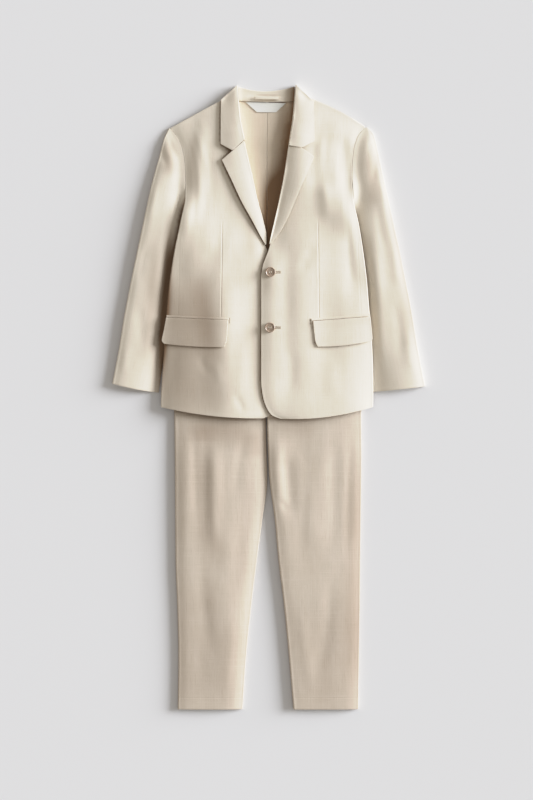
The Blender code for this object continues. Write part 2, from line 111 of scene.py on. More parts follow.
def sized(material, source, low, high, start=0, end=1):
    return addNode(material, "MapRange", {"clamp": True},
                   {"From Min": low, "From Max": high, "To Min": start, "To Max": end},
                   {"Value": source}).outputs["Result"]


# A blend of two colours, each a hex text or another node's colour
def mixed(material, factor, first, second):
    node = addNode(material, "Mix", {"data_type": "RGBA"}, links={0: factor})
    for socket, colour in ((6, first), (7, second)):
        if isinstance(colour, str):
            node.inputs[socket].default_value = hexToLinear(colour)
        else:
            material.node_tree.links.new(colour, node.inputs[socket])
    return node.outputs[2]


def bumped(material, height, strength, depth, before=None):
    links = {"Height": height}
    if before:
        links["Normal"] = before
    return addNode(material, "Bump", values={"Strength": strength, "Distance": depth * mm},
                   links=links).outputs["Normal"]


# Plain-weave linen of about 230 g: matt, dry, with uneven yarns that run as fine streaks both ways
jacketCloth = {
    "name": "jacketLinenPlainWeave",
    "yarn": "#E9E0CF",
    "lightYarn": "#EDE5D6",
    "slubYarn": "#D8CBB7",
    "sheen": "#FFF4E2",
    "sheenWeight": 0.18,
    "threadSpacing": 1.1,       # real one is 0.5 mm, drawn coarser so that it shows
    "slubWidth": 1.7,
    "slubLength": 34.0,
    "yarnLength": 85.0,
    "toneSize": 70.0,
    "crumpleSize": 20.0,
    "crumpleDepth": 0.34,
    "deepShade": "#7A5A3C",     # painted shade colour, mixed in where light from the window side hardly gets in
}
trouserCloth = dict(
    jacketCloth,
    name="trouserLinenPlainWeave",
    yarn="#D2C6B5",
    lightYarn="#DBCFC0",
    slubYarn="#BDAD99",
    sheen="#FFF0DC",
    crumpleDepth=0.52,
)
innerCloth = dict(
    jacketCloth,
    name="linenWrongSide",
    yarn="#E6D8C4",
    lightYarn="#EADECC",
    slubYarn="#CFBDA4",
    sheenWeight=0.1,
)


def linenMaterial(look):
    material = newMaterial(look["name"])
    grain = addNode(material, "UVMap", {"uv_map": "grain"}).outputs["UV"]

    def streaks(width, length, alongWarp, detail, shift):
        across = 1 / (width * mm)
        along = 1 / (length * mm)
        stretch = (across, along, 1) if alongWarp else (along, across, 1)
        return noise(material, grain, 1.0, detail, stretch, shift)

    def band(direction):
        scale = 2 * math.pi / 20 / (look["threadSpacing"] * mm)
        return addNode(material, "TexWave", {"wave_type": "BANDS", "bands_direction": direction},
                       {"Scale": scale, "Distortion": 1.2, "Detail": 1.0, "Detail Scale": 0.6},
                       {"Vector": grain}).outputs["Fac"]

    def combined(operation, first, second):
        return addNode(material, "Math", {"operation": operation},
                       links={0: first, 1: second}).outputs["Value"]

    yarnWidth = look["threadSpacing"] * 1.7
    warpSlubs = streaks(look["slubWidth"], look["slubLength"], True, 2.0, 3.1)
    weftSlubs = streaks(look["slubWidth"] * 0.85, look["slubLength"] * 0.8, False, 2.0, 7.7)
    warpYarns = streaks(yarnWidth, look["yarnLength"], True, 1.0, 1.3)
    weftYarns = streaks(yarnWidth, look["yarnLength"], False, 1.0, 6.1)
    tone = streaks(look["toneSize"], look["toneSize"] * 1.3, True, 3.0, 5.9)
    crumple = streaks(look["crumpleSize"], look["crumpleSize"] * 1.5, True, 3.0, 9.4)
    warp = band("X")
    weft = band("Y")

    slubs = combined("MAXIMUM", sized(material, warpSlubs, 0.58, 0.74),
                     sized(material, weftSlubs, 0.6, 0.76, 0, 0.9))
    yarns = combined("MAXIMUM", sized(material, warpYarns, 0.38, 0.72),
                     sized(material, weftYarns, 0.42, 0.75))
    gaps = sized(material, combined("MULTIPLY", warp, weft), 0.0, 0.12, 0.2, 0)
    colour = mixed(material, yarns, look["yarn"], look["lightYarn"])
    colour = mixed(material, sized(material, slubs, 0, 1, 0, 0.35), colour, look["slubYarn"])
    colour = mixed(material, sized(material, tone, 0.35, 0.7, 0, 0.25), colour, look["slubYarn"])
    colour = mixed(material, gaps, colour, look["slubYarn"])
    # Painted shade: the deepShade attribute mixes the deep shade colour into the cloth's colour
    deep = addNode(material, "Attribute", {"attribute_name": "deepShade"}).outputs["Fac"]
    colour = mixed(material, deep, colour, look["deepShade"])

    relief = bumped(material, combined("MAXIMUM", warp, weft), 0.2, 0.2)
    relief = bumped(material, slubs, 0.3, 0.25, relief)
    relief = bumped(material, crumple, 0.6, look["crumpleDepth"], relief)
    values = {"Specular IOR Level": 0.25, "Sheen Weight": look["sheenWeight"],
              "Sheen Roughness": 0.55, "Sheen Tint": hexToLinear(look["sheen"])}
    roughness = sized(material, slubs, 0, 1, 0.9, 0.78)
    return closeMaterial(material, values, {"Base Color": colour, "Roughness": roughness,
                                            "Normal": relief})


# Woven satin tape, bright white with a soft shine along the weft
def satinMaterial():
    material = newMaterial("labelSatinWoven")
    grain = addNode(material, "UVMap", {"uv_map": "grain"}).outputs["UV"]
    ribs = noise(material, grain, 1.0, 2.0, stretch=(60, 2200, 1))
    colour = mixed(material, sized(material, ribs, 0.3, 0.7), "#E9E9E2", "#F4F4F0")
    return closeMaterial(material, {"Roughness": 0.45, "Specular IOR Level": 0.5, "Sheen Weight": 0.1},
                         {"Base Color": colour, "Normal": bumped(material, ribs, 0.3, 0.1)})


# Polyester cast to look like horn: half gloss, cloudy brown-grey with darker streaks
def hornMaterial():
    material = newMaterial("buttonImitationHornCast")
    place = addNode(material, "TexCoord").outputs["Object"]
    streak = noise(material, place, 1.0, 4.0, stretch=(500, 160, 160), turn=0.6, warp=1.0)
    cloud = mixed(material, sized(material, streak, 0.34, 0.68), "#8A7260", "#DCC9B4")
    colour = mixed(material, noise(material, place, 260.0, 3.0), cloud, "#8A7460")
    values = {"Roughness": 0.28, "IOR": 1.54, "Coat Weight": 0.3, "Coat Roughness": 0.15}
    return closeMaterial(material, values, {"Base Color": colour})


# Spun sewing thread, dyed to the cloth, with the twist of its plies
def threadMaterial(name, light, dark):
    material = newMaterial(name)
    place = addNode(material, "TexCoord").outputs["Object"]
    colour = mixed(material, noise(material, place, 2600.0, 1.0), dark, light)
    return closeMaterial(material, {"Roughness": 0.7, "Sheen Weight": 0.2}, {"Base Color": colour})


# Matt studio paper under the suit
def paperMaterial():
    material = newMaterial("studioPaperMatt")
    place = addNode(material, "TexCoord").outputs["Object"]
    tooth = bumped(material, noise(material, place, 900.0, 2.0), 0.1, 0.1)
    values = {"Base Color": hexToLinear("#E6E6E7"), "Roughness": 0.95, "Specular IOR Level": 0.1}
    return closeMaterial(material, values, {"Normal": tooth})


finishes = {
    "jacket_linen": linenMaterial(jacketCloth),
    "trouser_linen": linenMaterial(trouserCloth),
    "inner_linen": linenMaterial(innerCloth),
    "label_satin": satinMaterial(),
    "horn_button": hornMaterial(),
}
seamThread = threadMaterial("seamThreadSpun", "#E4DCCB", "#B9AB93")
darkThread = threadMaterial("buttonholeThreadSpun", "#CFC2AE", "#8E7C66")
print("finishes made:", len(finishes) + 2)


# Cloth

ending = "_shell"        # of the laid pieces' names
restGap = 0.15           # millimetres between a shell's underside and what it lies on
fullLiftWidth = 45.0     # a piece narrower than this is lifted less at its edges
edgeCrowding = 0.06      # a piece's columns stand closer near its edges
nearestHeight = 0.05     # metres, where the search for the nearest surface starts
flatReach = 0.3          # a sewn edge hardly rolls
flatDrop = 0.8
leastDrop = 0.6
meetHeight = 15.0        # where the search for a neighbour's edge starts
meetFade = 60.0          # the blend into a neighbour grows over this length
creaseFull = 0.35        # share of a crease's half length that keeps its height
creaseFade = 0.38
seamForm = {
    "reach": 7.0,
    "cuts": (-2.6, -1.3, -0.5, 0.0, 0.5, 1.3, 2.6),
    "grooveWidth": 0.6,
    "ridgeShare": 0.35,
    "ridgePlace": 2.2,
    "ridgeWidth": 1.2,
    "cutPast": 0.08,         # shares of the seam's length past its ends
    "foldPast": 0.05,
    "fadeRate": 12,
}


# A monotone cubic through the rows, so that an edge never swings past its own rows
def smoothThrough(keys, values, at):
    slopes = np.diff(values) / np.diff(keys)
    product = slopes[:-1] * slopes[1:]
    total = np.where(product > 0, slopes[:-1] + slopes[1:], 1.0)
    inner = np.where(product > 0, 2 * product / total, 0.0)
    tangents = np.concatenate(([slopes[0]], inner, [slopes[-1]]))
    span = np.clip(np.searchsorted(keys, at, side="right") - 1, 0, len(keys) - 2)
    width = keys[span + 1] - keys[span]
    t = (at - keys[span]) / width
    rise = (2 * t ** 3 - 3 * t ** 2 + 1) * values[span]
    rise += (t ** 3 - 2 * t ** 2 + t) * width * tangents[span]
    rise += (3 * t ** 2 - 2 * t ** 3) * values[span + 1]
    rise += (t ** 3 - t ** 2) * width * tangents[span + 1]
    return rise


# How far an edge rolls out; above seamY, where it has one, it is a flat seam instead
def seamReach(reach, y, seamY):
    return np.where(y > seamY[0], flatReach, reach) if seamY else reach


# The plan of a piece from its rows: left x, left y, right x, right y, bow, kink
def planOf(piece):
    rows = np.array([list(row) + [0.0] * (6 - len(row)) for row in piece["rows"]], float)
    leftRuns = np.hypot(*np.diff(rows[:, 0:2], axis=0).T)
    rightRuns = np.hypot(*np.diff(rows[:, 2:4], axis=0).T)
    runs = np.maximum(leftRuns, rightRuns)
    keys = np.concatenate(([0.0], np.cumsum(runs)))
    cell = piece.get("cell", 3.0)
    at = [0.0]
    for k, run in enumerate(runs):
        steps = max(1, round(run / cell))
        at += [keys[k] + run * (step + 1) / steps for step in range(steps)]
    at = np.array(at)
    leftX, leftY, rightX, rightY, bow, kink = (smoothThrough(keys, column, at)[:, None]
                                               for column in rows.T)
    count = max(4, round(np.abs(rows[:, 2] - rows[:, 0]).max() / cell) + 1)
    share = np.linspace(0, 1, count)
    share = (share - edgeCrowding * np.sin(2 * math.pi * share))[None, :]
    for side, reach, level, *seamY in piece.get("rolls", ()):
        if side == "left":
            leftX = leftX + seamReach(reach, leftY, seamY)
        if side == "right":
            rightX = rightX - seamReach(reach, rightY, seamY)
    x = leftX + (rightX - leftX) * share
    y = leftY + (rightY - leftY) * share + bow * 4 * share * (1 - share)
    y = y + kink * (1 - np.abs(2 * share - 1))
    return x, y, share


def treeOf(node):
    if node not in solidTrees:
        shape = bmesh.new()
        shape.from_mesh(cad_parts[node].data)
        solidTrees[node] = BVHTree.FromBMesh(shape)
        shape.free()
    return solidTrees[node]


# Top surface of a tree under points in millimetres; a point just outside takes the nearest one
def heightsOn(tree, x, y, nearest=True):
    heights = np.full(x.shape, np.nan)
    for place in np.ndindex(x.shape):
        point = Vector((x[place] * mm, y[place] * mm, skyHeight))
        hit = tree.ray_cast(point, down)[0]
        if hit is None and nearest:
            point.z = nearestHeight
            hit = tree.find_nearest(point)[0]
        if hit is not None:
            heights[place] = hit.z / mm
    return heights


def softened(field, along, across):
    for count in (along, across):
        for _ in range(count):
            framed = np.pad(field, [(1, 1), (0, 0)], mode="edge")
            field = 0.25 * framed[:-2] + 0.5 * framed[1:-1] + 0.25 * framed[2:]
        field = field.T
    return field


# Soft ridges, or troughs where the height is negative: start x, start y, end x, end y, width, height
# and, for a bent one, the sideways sway of its middle
def creaseHeights(creases, x, y):
    total = np.zeros(x.shape)
    for startX, startY, endX, endY, width, height, *sway in creases:
        runX = endX - startX
        runY = endY - startY
        length = math.hypot(runX, runY)
        along = ((x - startX) * runX + (y - startY) * runY) / length ** 2
        aside = ((x - startX) * runY - (y - startY) * runX) / length
        aside = aside - sum(sway) * np.sin(math.pi * np.clip(along, 0, 1))
        past = np.maximum(0, np.abs(2 * along - 1) - creaseFull)
        total += height * np.exp(-(aside / width) ** 2) * np.exp(-(past / creaseFade) ** 2)
    return total


# Heights that blend into a neighbour's beside the seam between them, above one y
def metHeights(meets, x, y, z):
    name, startY, reach = meets
    tree = shellTrees[name]
    blended = z.copy()
    for place in np.ndindex(x.shape):
        if y[place] > startY:
            point = Vector((x[place] * mm, y[place] * mm, meetHeight * mm))
            near = tree.find_nearest(point)[0]
            gap = math.hypot(near.x - point.x, near.y - point.y) / mm
            share = max(0.0, 1 - gap / reach) * min(1.0, (y[place] - startY) / meetFade)
            share = share * share * (3 - 2 * share)
            blended[place] += share * (near.z / mm - z[place])
    return softened(blended, 2, 1)


# One side of a grid, or the line that lies some steps inside it
def sideOf(grid, side, inside=0):
    if side in ("top", "bottom"):
        grid = grid.transpose(0, 2, 1)
    return grid[:, :, -1 - inside] if side in ("right", "bottom") else grid[:, :, inside]


# Adds columns past one edge that roll over and down. grid holds x, y, z, flat x and flat y.
def rolledEdge(grid, side, reach, drop, steps=5):
    if side in ("top", "bottom"):
        grid = grid.transpose(0, 2, 1)
    if side in ("right", "bottom"):
        grid = grid[:, :, ::-1]
    edge = grid[:, :, 0]
    outward = edge[:2] - grid[:2, :, 1]
    outward = outward / np.maximum(np.hypot(*outward), 1e-6)
    columns = [edge]
    for step in range(1, steps + 1):
        turn = math.pi / 2 * step / steps
        column = edge.copy()
        column[:2] += outward * reach * math.sin(turn)
        column[2] -= drop * (1 - math.cos(turn))
        walked = np.sqrt(((column[:3] - columns[-1][:3]) ** 2).sum(axis=0))
        column[3:] = columns[-1][3:] + outward * walked
        columns.append(column)
    added = np.stack(columns[:0:-1], axis=2)
    grid = np.concatenate((added, grid), axis=2)
    if side in ("right", "bottom"):
        grid = grid[:, :, ::-1]
    if side in ("top", "bottom"):
        grid = grid.transpose(0, 2, 1)
    return grid


# A sewn seam or dart: the mesh is cut along it, and the middle sinks between two low ridges
def sewSeam(shape, seam):
    startX, startY, endX, endY, depth = seam
    start = Vector((startX * mm, startY * mm, 0))
    run = Vector((endX * mm, endY * mm, 0)) - start
    length = run.length
    run.normalize()
    aside = Vector((run.y, -run.x, 0))

    def placeOf(point):
        offset = point - start
        return offset.dot(run) / length, offset.dot(aside) / mm

    for shift in seamForm["cuts"]:
        near = []
        for face in shape.faces:
            along, beside = placeOf(face.calc_center_median())
            if abs(along - 0.5) < 0.5 + seamForm["cutPast"] and abs(beside) < seamForm["reach"]:
                near.append(face)
        edges = {edge for face in near for edge in face.edges}
        verts = {vert for face in near for vert in face.verts}
        bmesh.ops.bisect_plane(shape, geom=[*near, *edges, *verts], dist=1e-6,
                               plane_co=start + aside * shift * mm, plane_no=aside)
    before = seamForm["foldPast"]
    after = 1 + before
    for vert in shape.verts:
        along, beside = placeOf(vert.co)
        if -before < along < after and abs(beside) < seamForm["reach"]:
            fade = min(1.0, min(along + before, after - along) * seamForm["fadeRate"])
            groove = math.exp(-(beside / seamForm["grooveWidth"]) ** 2)
            past = (abs(beside) - seamForm["ridgePlace"]) / seamForm["ridgeWidth"]
            ridges = seamForm["ridgeShare"] * math.exp(-past ** 2)
            vert.co.z -= depth * mm * (groove - ridges) * fade


def finishPiece(name, mesh, material, nodes=()):
    mesh.materials.append(material)
    made = linked(name, mesh)
    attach(made, "root")
    if nodes:
        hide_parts(*nodes)
    return made


# One cut piece of cloth as a thin shell on its solid's form. Unless it says otherwise, it stands for
# the node of its own name, is jacket linen, and rests on what it is kept above or on the floor.
def layCloth(piece):
    x, y, share = planOf(piece)
    node = piece.get("node", piece["name"])
    shell = piece["name"] + ending
    slot = piece.get("slot", "jacket_linen")
    above = piece.get("on", [])
    z = heightsOn(treeOf(node), x, y)
    cell = piece.get("cell", 3.0)
    along, across = piece.get("softness", (14.0, 5.0))
    z = softened(z, round(2 * (along / cell) ** 2), round(2 * (across / cell) ** 2))
    if "plateau" in piece:
        crown, flatness = piece["plateau"]
        rise = np.clip((z - z.min()) / np.ptp(z), 0, 1)
        z = z.min() + crown * (1 - (1 - rise) ** flatness)
    leftLift, rightLift, power = piece.get("lift", (0.0, 0.0, 1.0))
    narrow = np.clip((x[:, -1:] - x[:, :1]) / fullLiftWidth, 0, 1)
    z += narrow * (leftLift * (1 - share) ** power + rightLift * share ** power)
    z += creaseHeights(piece.get("creases", ()), x, y)
    z += piece.get("raise", 0.0)
    if "meets" in piece:
        z = metHeights(piece["meets"], x, y, z)
    wall = piece.get("wall", 1.0)
    for name in above:
        nearest = "past" in piece and name == above[0]
        below = heightsOn(shellTrees[name], x, y, nearest)
        z = np.fmax(z, below + wall + restGap)
    if above:
        smoothing = piece.get("settle", 1)
        z = softened(z, smoothing, smoothing)
    grid = np.stack((x, y, z, x, y))
    steps = np.sqrt((np.diff(grid[:3], axis=2) ** 2).sum(axis=0)).sum(axis=1)
    runs = np.sqrt((np.diff(grid[:3], axis=1) ** 2).sum(axis=0)).sum(axis=0)
    for side, reach, level, *seamY in piece.get("rolls", ()):
        edge = sideOf(grid, side)
        if isinstance(level, str):      # a solid that the edge comes down to
            level = heightsOn(treeOf(level), *sideOf(grid, side, 2)[:2])
        drop = np.maximum(leastDrop, edge[2] - level)
        if seamY:
            reach = seamReach(reach, edge[1], seamY)
            drop = np.where(edge[1] > seamY[0], flatDrop, drop)
            drop = softened(drop[:, None], 6, 0)[:, 0]
        grid = rolledEdge(grid, side, reach, drop)
    rowCount, columnCount = grid.shape[1:]

    angle = math.radians(piece.get("grain", 0.0))
    shape = bmesh.new()
    bmesh.ops.create_grid(shape, x_segments=columnCount - 1, y_segments=rowCount - 1, size=0.5)
    flat = {}
    for vert in shape.verts:
        i = round((0.5 - vert.co.y) * (rowCount - 1))
        j = round((vert.co.x + 0.5) * (columnCount - 1))
        flatX, flatY = grid[3:, i, j] * mm
        flat[vert.index] = (flatX * math.cos(angle) + flatY * math.sin(angle),
                            flatY * math.cos(angle) - flatX * math.sin(angle))
        vert.co = grid[:3, i, j] * mm
    layer = shape.loops.layers.uv.new("grain")
    for face in shape.faces:
        for loop in face.loops:
            loop[layer].uv = flat[loop.vert.index]
    area = sum(face.calc_area() for face in shape.faces)
    for seam in piece.get("seams", ()):
        sewSeam(shape, seam)
    shellTrees[piece["name"]] = BVHTree.FromBMesh(shape)
    firstVert = len(allPoints)
    allPoints.extend(vert.co.copy() for vert in shape.verts)
    allFaces.extend([firstVert + vert.index for vert in face.verts] for face in shape.faces)
    mesh = meshOf(shell, shape)
    mesh.shade_smooth()
    made = finishPiece(shell, mesh, finishes[slot], [node])
    thickness = made.modifiers.new("wall", "SOLIDIFY")
    thickness.thickness = wall * mm
    thickness.offset = -1
    thickness.use_even_offset = False
    soft = made.modifiers.new("pressedEdge", "BEVEL")
    soft.width = piece.get("edge", 0.3) * mm
    soft.segments = 2
    soft.limit_method = "ANGLE"
    soft.angle_limit = math.radians(60)
    across = float(steps.max()) * mm
    along = float(runs.max()) * mm


# Creases that everything on the jacket's body follows, lapels, flaps and welts too
jacketCreases = [
    (-132, 540, -134, 300, 11, 1.9),      # the solid's own broad folds, eased out
    (-110, 540, -112, 330, 13, -1.8),
    (98, 520, 102, 340, 11, 2.0),
    (128, 530, 126, 330, 15, -2.4),
    (-104, 262, -62, -90, 44, 4.8),       # the body's highest line, slanting to the hem
    (76, 400, 48, -70, 40, 3.4),
    (-158, 350, -178, 190, 20, -3.2),     # the sides under the arms lie lower
    (156, 355, 172, 160, 25, -5.0),
    (-190, 250, -196, -40, 34, -2.0),
    (-122, 350, -112, 262, 17, 0.8),
    (62, 540, 64, 350, 30, 3.2),
    (142, 520, 144, 350, 14, -3.4),
    (-122, 545, -128, 340, 16, 1.6, 4),
    (-152, 520, -152, 350, 11, -1.2, 2),
    (-60, 330, -102, 190, 14, 0.9, 5),
    (-130, 82, -114, 40, 6, -0.8, 2),
    (-104, 70, -92, 20, 7, 0.6, -2),
    (-62, 8, -44, -30, 5, -0.9, 2),
    (-46, 120, -52, -20, 12, 1.0, 3),
    (108, 415, 112, 330, 15, 1.9),
    (58, 232, 84, 292, 11, -0.9, 3),
    (44, 96, 40, 0, 10, -0.8, -3),
    (120, 80, 128, -10, 14, 0.7, 4),
    (150, 330, 160, 200, 8, -0.7, 2),
]
legCreases = [
    (-106, -60, -112, -330, 15, 3.0),     # the solid's own broad folds, eased out
    (-66, -60, -78, -330, 21, -0.6),
    (60, -70, 66, -300, 17, 2.6),
    (28, -90, 38, -250, 15, -2.4),
    (122, -60, 120, -320, 19, -2.4),
    (-127, -50, -130, -330, 17, -0.6, 3),
    (-98, -60, -90, -340, 14, 0.8),
    (-84, -300, -92, -620, 40, 2.0),
    (50, -50, 58, -300, 16, -0.9, -3),
    (90, -50, 94, -330, 21, 0.5, 3),
    (8, -60, 24, -250, 12, 2.0),
    (100, -300, 104, -620, 40, 1.5),
    (-118, -70, -106, -330, 9, -1.2, 6),
    (-70, -60, -84, -360, 16, 1.0, -5),
    (-146, -40, -138, -250, 7, -0.9, -3),
    (-40, -50, -66, -210, 8, -0.8, 4),
    (-128, -300, -100, -520, 12, -0.8, 6),
    (-70, -400, -84, -575, 10, 0.6, -3),
    (66, -60, 62, -300, 9, -1.0, -5),
    (20, -60, 44, -260, 8, 0.9, 4),
    (110, -50, 122, -300, 13, 1.0, 5),
    (158, -40, 150, -330, 7, -0.8, 3),
    (14, -190, 40, -216, 5, -0.7, 1),
    (120, -330, 92, -540, 12, -0.8, -6),
    (60, -380, 84, -575, 10, 0.6, 3),
]

trouserHem = -593
legRightRows = [
    (-162, 235, -3.2, 235),
    (-174, 160, -3.2, 160),
    (-181, 40, -3.4, 40),
    (-180, -28, -5.2, -40),
    (-179, -110, -3.8, -110),
    (-178.6, -160, -2.8, -159),
    (-178, -230, -11.8, -230),
    (-177.4, -313, -22.7, -313),
    (-174, -402, -33.3, -402),
    (-172, -495, -42.7, -495),
    (-173.4, trouserHem, -49.3, trouserHem),
]
legLeftRows = [
    (-2.6, 235, 158, 235),
    (-2.6, 160, 170, 160),
    (-2.6, 40, 178, 40),
    (-3.6, -40, 176.6, -27),
    (-1.2, -110, 177.2, -111),
    (1.2, -155, 176.5, -157),
    (11.6, -235, 175.3, -235),
    (18.1, -309, 174.3, -309),
    (28, -389, 173.6, -389),
    (36, -469, 172.4, -469),
    (46.6, trouserHem, 170.5, trouserHem),
]


def drawnIn(rows, left, right):
    return [(row[0] + left, row[1], row[2] - right, *row[3:]) for row in rows]


# Back and front of one leg
def legPieces(side, rows, leftLift, rightLift, hem):
    back = {"name": f"trousers_back_{side}", "slot": "trouser_linen",
            "rows": drawnIn(rows, 1.6, 1.6), "cell": 9.0, "wall": 1.3}
    front = {"name": f"trousers_front_{side}", "slot": "trouser_linen", "rows": rows,
             "cell": 3.6, "creases": legCreases, "on": [back["name"]], "plateau": (8.5, 1.6),
             "lift": (leftLift, rightLift, 7),
             "rolls": [("left", 2.0, 1.0), ("right", 0.7, 1.0)], "seams": [hem]}
    return back, front


legRightBack, legRightFront = legPieces("right", legRightRows, 3.6, 0.6, (-172, -571, -48, -571, 0.12))
legLeftBack, legLeftFront = legPieces("left", legLeftRows, 5.5, 2.0, (46, -571, 171, -571, 0.12))
waistbandBack = {"name": "waistband_back", "slot": "trouser_linen", "cell": 9.0, "wall": 1.3,
                 "rows": [(-157.5, 272, 153.5, 272), (-160, 236, 156, 236)]}
waistbandFront = {"name": "waistband_front", "slot": "trouser_linen", "cell": 6.0,
                  "rows": [(-159, 272, 155, 272), (-161.5, 236, 157.5, 236)],
                  "on": ["waistband_back"],
                  "rolls": [("left", 1.3, 1.0), ("right", 1.3, 1.0)]}
trouserPieces = [legRightBack, legLeftBack, waistbandBack, legRightFront, legLeftFront, waistbandFront]

# Sleeves: the armhole first, then the inner edge that lies under the jacket's side
sleeveRightRows = [
    (-190.5, 511.4, -184.6, 508.6),
    (-199.2, 492.6, -169.9, 487),
    (-209.9, 452.7, -160.9, 452.7),
    (-218, 424, -158.4, 424),
    (-227, 388, -159, 382),
    (-240.5, 325, -154, 328),
    (-254.3, 260, -170, 262),
    (-266, 203, -179, 200),
    (-275.6, 152.5, -188, 145),
    (-285.3, 92, -199, 80),
    (-298, 25.6, -209.5, 9, -2),
]
sleeveLeftRows = [
    (181.6, 511.5, 187.5, 513.4),
    (167.3, 491.8, 200, 498),
    (160.4, 462, 208.3, 464.1),
    (157.8, 424, 217, 424),
    (160.6, 379, 227.7, 376),
    (154, 328, 238.5, 326),
    (164, 279, 248.8, 279.8),
    (174, 226, 259.5, 226),
    (182, 175, 270, 175),
    (191, 100, 282.2, 101.2),
    (197.5, 10.5, 297.8, 21, -1),
]
sleeveCreases = [
    (-184, 345, -207, 10, 9, -4.5),       # sinks beside the jacket's side
    (196, 330, 216, 20, 13, 3.2),
    (-190, 496, -170, 450, 3.5, -1.1, 2),
    (-205, 470, -191, 436, 4, -1.0, 2),
    (-199, 484, -181, 444, 4, 0.8, 1),
    (-216, 410, -232, 330, 8, 0.9, -3),
    (-228, 300, -246, 210, 7, -0.9, 3),
    (-250, 180, -240, 90, 9, -0.8, -3),
    (-226, 150, -232, 60, 8, 0.8, 2),
    (-268, 100, -276, 40, 7, 0.6, 1),
    (202, 470, 196, 400, 6, -1.0, -2),
    (214, 450, 222, 360, 7, 0.8, 2),
    (206, 380, 222, 270, 7, -0.9, 3),
    (236, 300, 250, 200, 8, 0.8, 2),
    (238, 190, 250, 60, 8, -0.9, -3),
    (262, 140, 272, 40, 9, 0.7, 2),
]
sleevePieces = [
    {"name": "sleeve_right_under", "rows": drawnIn(sleeveRightRows, 1.6, 1.0), "cell": 9.0, "wall": 1.3},
    {"name": "sleeve_left_under", "rows": drawnIn(sleeveLeftRows, 1.0, 1.6), "cell": 9.0, "wall": 1.3},
    {"name": "sleeve_right_top", "rows": sleeveRightRows, "grain": -11,
     "creases": sleeveCreases, "plateau": (10.5, 1.7), "lift": (3.0, 0, 7),
     "meets": ("front_right", 345, 26), "on": ["sleeve_right_under"],
     "rolls": [("left", 2.0, 1.0)]},
    {"name": "sleeve_left_top", "rows": sleeveLeftRows, "grain": 11,
     "creases": sleeveCreases, "plateau": (10.5, 1.7), "lift": (0, 1.8, 7),
     "meets": ("front_left", 340, 24), "on": ["sleeve_left_under"],
     "rolls": [("right", 0.8, 1.0)]},
]

# Body: the shoulder first, then down the armhole and the side to the hem
frontRightRows = [
    (-187, 512, -65, 577),
    (-169, 485, -57, 531),
    (-160.6, 453, -50.5, 485),
    (-158.1, 424, -39.5, 436),
    (-158.6, 382, -27.5, 384),
    (-168, 330, -14, 333),
    (-177, 287, -6, 286),
    (-183.6, 250, 15, 250),
    (-191.4, 192, 16, 192),
    (-196.5, 125, 16, 125),
    (-201, 60, 16, 50),
    (-204, 14, 15.5, 0, -1),
    (-204.6, 2, 12, -20, -3),
    (-204.8, -9, 4, -33, -5),
    (-204.8, -19, -10, -40, -6),
]
frontLeftRows = [
    (57, 575, 183.8, 514.5, 6),
    (50, 531, 166.9, 492, 2),
    (39.2, 481, 160, 462),
    (35, 446, 157.4, 424),
    (25, 384, 160.2, 379),
    (12, 327, 170.6, 328),
    (0.5, 282, 178.5, 280),
    (-12, 246, 183.5, 243),
    (-14.7, 225, 186, 222),
    (-14.7, 179, 189.5, 179),
    (-14.7, 110, 195.5, 110),
    (-14.7, 33, 198, 40),
    (-11.3, 2, 198.4, 8, -2),
    (-5, -18, 198.3, -2, -4),
    (6, -34, 198.1, -11, -6),
    (22, -40.5, 197.9, -18.5, -8),
]
centreBack = -3.3
backRightRows = [
    (-186, 510, centreBack, 561, 20),
    (-170.5, 487, centreBack, 505, 8),
    (-160.4, 453, centreBack, 470),
    (-157.9, 424, centreBack, 430),
    (-158.4, 382, centreBack, 384),
    (-168, 330, centreBack, 333),
    (-177, 287, centreBack, 286),
    (-191.4, 192, centreBack, 192),
    (-196.5, 125, centreBack, 125),
    (-204, 14, centreBack, 0, -1),
    (-204.8, -19, centreBack, -38, -4),
]
backLeftRows = [
    (centreBack, 561, 182.8, 511.5, 20),
    (centreBack, 505, 166.5, 492, 8),
    (centreBack, 470, 159.8, 462),
    (centreBack, 430, 157.2, 424),
    (centreBack, 384, 160, 379),
    (centreBack, 333, 170.6, 328),
    (centreBack, 286, 178.5, 280),
    (centreBack, 179, 189.5, 179),
    (centreBack, 110, 195.5, 110),
    (centreBack, 0, 198.4, 8, -2),
    (centreBack, -38, 197.9, -18.5, -4),
]
bothBacks = ["back_right", "back_left"]
bodyPieces = [
    {"name": "collar_fall_back", "cell": 4.0, "wall": 1.3,
     "rows": [(-57, 588, 49, 588, -8), (-86, 562, 81, 560), (-84, 540, 79, 540)]},
    {"name": "back_right", "node": "jacket_back_right", "slot": "inner_linen",
     "rows": drawnIn(backRightRows, 1.6, 0.3), "cell": 4.5,
     "restsOn": ["trousers_front_right"]},
    {"name": "back_left", "node": "jacket_back_left", "slot": "inner_linen",
     "rows": drawnIn(backLeftRows, 0.3, 1.6), "cell": 4.5,
     "restsOn": ["trousers_front_left"]},
    {"name": "front_right", "node": "jacket_front_right",
     "rows": frontRightRows, "creases": jacketCreases, "on": bothBacks,
     "rolls": [("left", 1.2, "jacket_back_right", 378), ("top", 0.5, 3.0)],
     "seams": [(-88, 331, -90.5, 152, 0.26), (-168.5, 300, -172, 152, 0.08)]},
    {"name": "front_left", "node": "jacket_front_left",
     "rows": frontLeftRows, "creases": jacketCreases, "on": bothBacks + ["front_right"],
     "rolls": [("right", 0.6, "jacket_back_left", 375), ("top", 0.5, 3.0)],
     "seams": [(93.5, 331, 95, 148, 0.26), (168, 300, 175, 152, 0.08)],
     "restsOn": ["back_left", "front_right"]},
]

